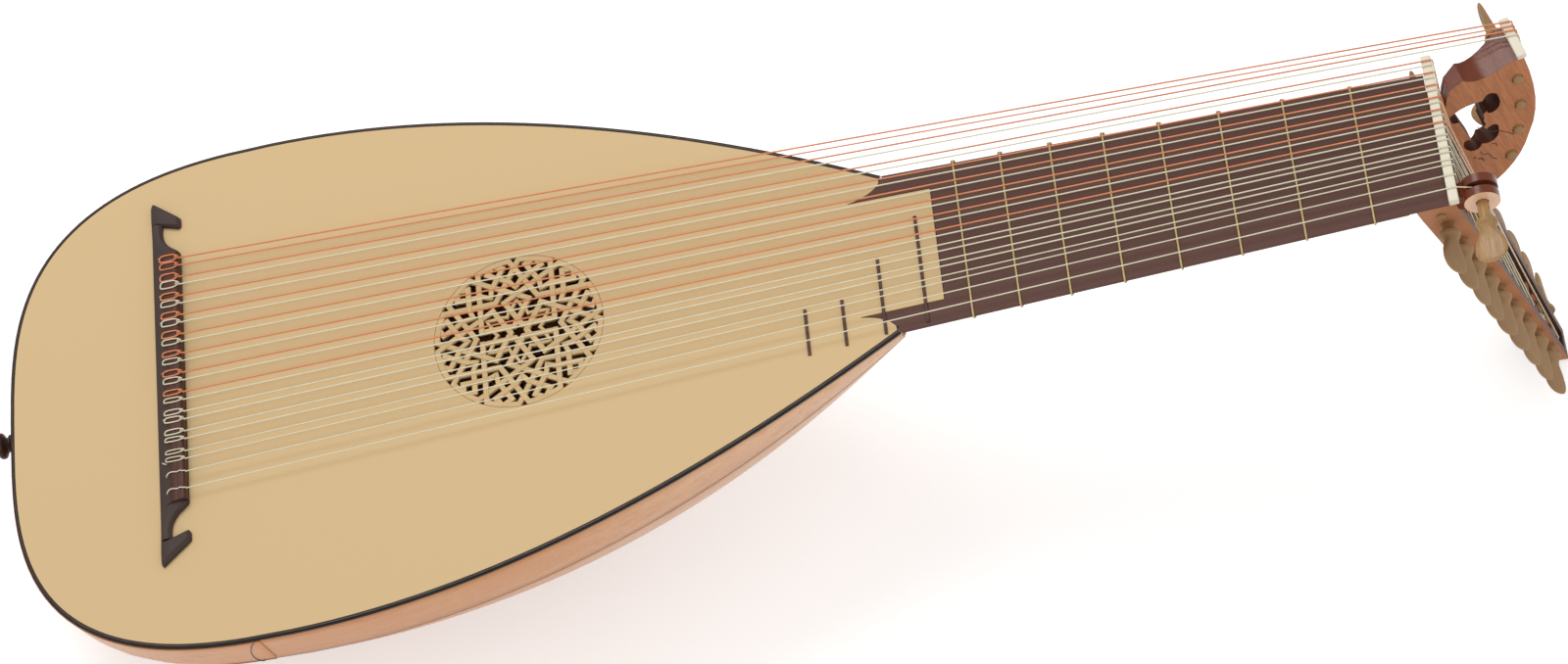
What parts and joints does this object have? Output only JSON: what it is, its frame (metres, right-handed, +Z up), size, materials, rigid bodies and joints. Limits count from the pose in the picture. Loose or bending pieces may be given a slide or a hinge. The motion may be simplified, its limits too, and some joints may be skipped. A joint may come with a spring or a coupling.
{
  "type": "baroque lute",
  "caption": "Baroque lute with a pierced rose, bent-back pegbox, bass rider and turning pegs, laid on its back.",
  "frame": {"origin": "middle of the rib facet that the bowl lies on", "axes": "+X towards the neck and nut, +Y to the bass side, +Z up when the lute lies on its back"},
  "size_m": [0.8897, 0.3226, 0.2392],
  "materials": {
    "spruce": "pale spruce under thin clear varnish, fine grain",
    "ebony": "black, polished",
    "cherry": "pale red-brown fruitwood, oil varnish",
    "pine": "bare softwood",
    "steel": "plain steel",
    "neck_wood": "red-brown, varnished",
    "rosewood": "dark red-brown with darker streaks, satin",
    "bone": null,
    "pegbox_wood": "orange-brown cherry, oil varnish",
    "bridge_wood": "near-black brown, satin",
    "fret_gut": null,
    "string": null,
    "wound_string": "copper-coloured loaded string",
    "peg_wood": "tan-brown boxwood-like, satin"
  },
  "bodies": {
    "lute": {"bass_nut": "bone", "bass_rider": "pegbox_wood", "bowl": "cherry", "bridge": "bridge_wood", "chanterelle_rider": "pegbox_wood", "course_01": "string", "course_02": "string", "course_03": "string", "course_04": "string", "course_05": "string", "course_06": "wound_string", "course_07": "wound_string", "course_08": "wound_string", "course_09": "wound_string", "course_10": "wound_string", "course_11": "wound_string", "course_12": "wound_string", "course_13": "wound_string", "edging": "ebony", "end_button": "ebony", "end_clasp": "cherry", "fingerboard": "rosewood", "neck": "neck_wood", "neck_block": "pine", "neck_screw": "steel", "nut": "bone", "pegbox": "pegbox_wood", "soundboard": "spruce"},
    "bass_rider_peg_1": {"bass_rider_peg_1": "peg_wood"},
    "bass_rider_peg_2": {"bass_rider_peg_2": "peg_wood"},
    "bass_rider_peg_3": {"bass_rider_peg_3": "peg_wood"},
    "bass_rider_peg_4": {"bass_rider_peg_4": "peg_wood"},
    "chanterelle_peg": {"chanterelle_peg": "peg_wood"},
    "fret_1": {"fret_1": "fret_gut"},
    "fret_2": {"fret_2": "fret_gut"},
    "fret_3": {"fret_3": "fret_gut"},
    "fret_4": {"fret_4": "fret_gut"},
    "fret_5": {"fret_5": "fret_gut"},
    "fret_6": {"fret_6": "fret_gut"},
    "fret_7": {"fret_7": "fret_gut"},
    "fret_8": {"fret_8": "fret_gut"},
    "peg_01": {"peg_01": "peg_wood"},
    "peg_02": {"peg_02": "peg_wood"},
    "peg_03": {"peg_03": "peg_wood"},
    "peg_04": {"peg_04": "peg_wood"},
    "peg_05": {"peg_05": "peg_wood"},
    "peg_06": {"peg_06": "peg_wood"},
    "peg_07": {"peg_07": "peg_wood"},
    "peg_08": {"peg_08": "peg_wood"},
    "peg_09": {"peg_09": "peg_wood"},
    "peg_10": {"peg_10": "peg_wood"},
    "peg_11": {"peg_11": "peg_wood"},
    "peg_12": {"peg_12": "peg_wood"},
    "peg_13": {"peg_13": "peg_wood"},
    "peg_14": {"peg_14": "peg_wood"},
    "peg_15": {"peg_15": "peg_wood"},
    "peg_16": {"peg_16": "peg_wood"},
    "peg_17": {"peg_17": "peg_wood"},
    "peg_18": {"peg_18": "peg_wood"},
    "peg_19": {"peg_19": "peg_wood"}
  },
  "joints": [
    {"name": "peg_01_turn", "type": "hinge", "parent": "lute", "child": "peg_01", "pos_m": [0.6316, 0.03106, 0.1988], "axis": [0, 1, 0], "continuous": true},
    {"name": "peg_02_turn", "type": "hinge", "parent": "lute", "child": "peg_02", "pos_m": [0.63585, -0.02995, 0.18831], "axis": [0, -1, 0], "continuous": true},
    {"name": "peg_03_turn", "type": "hinge", "parent": "lute", "child": "peg_03", "pos_m": [0.64011, 0.02884, 0.17782], "axis": [0, 1, 0], "continuous": true},
    {"name": "peg_04_turn", "type": "hinge", "parent": "lute", "child": "peg_04", "pos_m": [0.64436, -0.02773, 0.16732], "axis": [0, -1, 0], "continuous": true},
    {"name": "peg_05_turn", "type": "hinge", "parent": "lute", "child": "peg_05", "pos_m": [0.64861, 0.02662, 0.15683], "axis": [0, 1, 0], "continuous": true},
    {"name": "peg_06_turn", "type": "hinge", "parent": "lute", "child": "peg_06", "pos_m": [0.65286, -0.02551, 0.14634], "axis": [0, -1, 0], "continuous": true},
    {"name": "peg_07_turn", "type": "hinge", "parent": "lute", "child": "peg_07", "pos_m": [0.65711, 0.0244, 0.13585], "axis": [0, 1, 0], "continuous": true},
    {"name": "peg_08_turn", "type": "hinge", "parent": "lute", "child": "peg_08", "pos_m": [0.66136, -0.02329, 0.12535], "axis": [0, -1, 0], "continuous": true},
    {"name": "peg_09_turn", "type": "hinge", "parent": "lute", "child": "peg_09", "pos_m": [0.66561, 0.02218, 0.11486], "axis": [0, 1, 0], "continuous": true},
    {"name": "peg_10_turn", "type": "hinge", "parent": "lute", "child": "peg_10", "pos_m": [0.66986, -0.02107, 0.10437], "axis": [0, -1, 0], "continuous": true},
    {"name": "peg_11_turn", "type": "hinge", "parent": "lute", "child": "peg_11", "pos_m": [0.67412, 0.01996, 0.09388], "axis": [0, 1, 0], "continuous": true},
    {"name": "peg_12_turn", "type": "hinge", "parent": "lute", "child": "peg_12", "pos_m": [0.67837, -0.01886, 0.08339], "axis": [0, -1, 0], "continuous": true},
    {"name": "peg_13_turn", "type": "hinge", "parent": "lute", "child": "peg_13", "pos_m": [0.68262, 0.01775, 0.07289], "axis": [0, 1, 0], "continuous": true},
    {"name": "peg_14_turn", "type": "hinge", "parent": "lute", "child": "peg_14", "pos_m": [0.68687, -0.01664, 0.0624], "axis": [0, -1, 0], "continuous": true},
    {"name": "peg_15_turn", "type": "hinge", "parent": "lute", "child": "peg_15", "pos_m": [0.69112, 0.01553, 0.05191], "axis": [0, 1, 0], "continuous": true},
    {"name": "peg_16_turn", "type": "hinge", "parent": "lute", "child": "peg_16", "pos_m": [0.69537, -0.01442, 0.04142], "axis": [0, -1, 0], "continuous": true},
    {"name": "peg_17_turn", "type": "hinge", "parent": "lute", "child": "peg_17", "pos_m": [0.69962, 0.01331, 0.03093], "axis": [0, 1, 0], "continuous": true},
    {"name": "peg_18_turn", "type": "hinge", "parent": "lute", "child": "peg_18", "pos_m": [0.70387, -0.0122, 0.02043], "axis": [0, -1, 0], "continuous": true},
    {"name": "peg_19_turn", "type": "hinge", "parent": "lute", "child": "peg_19", "pos_m": [0.70812, 0.01109, 0.00994], "axis": [0, 1, 0], "continuous": true},
    {"name": "bass_rider_peg_1_turn", "type": "hinge", "parent": "lute", "child": "bass_rider_peg_1", "pos_m": [0.67942, 0.05879, 0.21511], "axis": [-0.1902, 0.9658, -0.1763], "continuous": true},
    {"name": "bass_rider_peg_2_turn", "type": "hinge", "parent": "lute", "child": "bass_rider_peg_2", "pos_m": [0.68187, 0.05379, 0.19579], "axis": [-0.1902, 0.9658, -0.1763], "continuous": true},
    {"name": "bass_rider_peg_3_turn", "type": "hinge", "parent": "lute", "child": "bass_rider_peg_3", "pos_m": [0.68167, 0.04758, 0.1774], "axis": [-0.1902, 0.9658, -0.1763], "continuous": true},
    {"name": "bass_rider_peg_4_turn", "type": "hinge", "parent": "lute", "child": "bass_rider_peg_4", "pos_m": [0.67881, 0.04014, 0.15994], "axis": [-0.1902, 0.9658, -0.1763], "continuous": true},
    {"name": "chanterelle_peg_turn", "type": "hinge", "parent": "lute", "child": "chanterelle_peg", "pos_m": [0.65107, -0.0412, 0.22255], "axis": [0, -1, 0], "continuous": true},
    {"name": "fret_1_slide", "type": "slide", "parent": "lute", "child": "fret_1", "axis": [0.9865, 0, 0.1638], "range_m": [-0.003, 0.003]},
    {"name": "fret_2_slide", "type": "slide", "parent": "lute", "child": "fret_2", "axis": [0.9865, 0, 0.1638], "range_m": [-0.003, 0.003]},
    {"name": "fret_3_slide", "type": "slide", "parent": "lute", "child": "fret_3", "axis": [0.9865, 0, 0.1638], "range_m": [-0.003, 0.003]},
    {"name": "fret_4_slide", "type": "slide", "parent": "lute", "child": "fret_4", "axis": [0.9865, 0, 0.1638], "range_m": [-0.003, 0.003]},
    {"name": "fret_5_slide", "type": "slide", "parent": "lute", "child": "fret_5", "axis": [0.9865, 0, 0.1638], "range_m": [-0.003, 0.003]},
    {"name": "fret_6_slide", "type": "slide", "parent": "lute", "child": "fret_6", "axis": [0.9865, 0, 0.1638], "range_m": [-0.003, 0.003]},
    {"name": "fret_7_slide", "type": "slide", "parent": "lute", "child": "fret_7", "axis": [0.9865, 0, 0.1638], "range_m": [-0.003, 0.003]},
    {"name": "fret_8_slide", "type": "slide", "parent": "lute", "child": "fret_8", "axis": [0.9865, 0, 0.1638], "range_m": [-0.003, 0.003]}
  ]
}
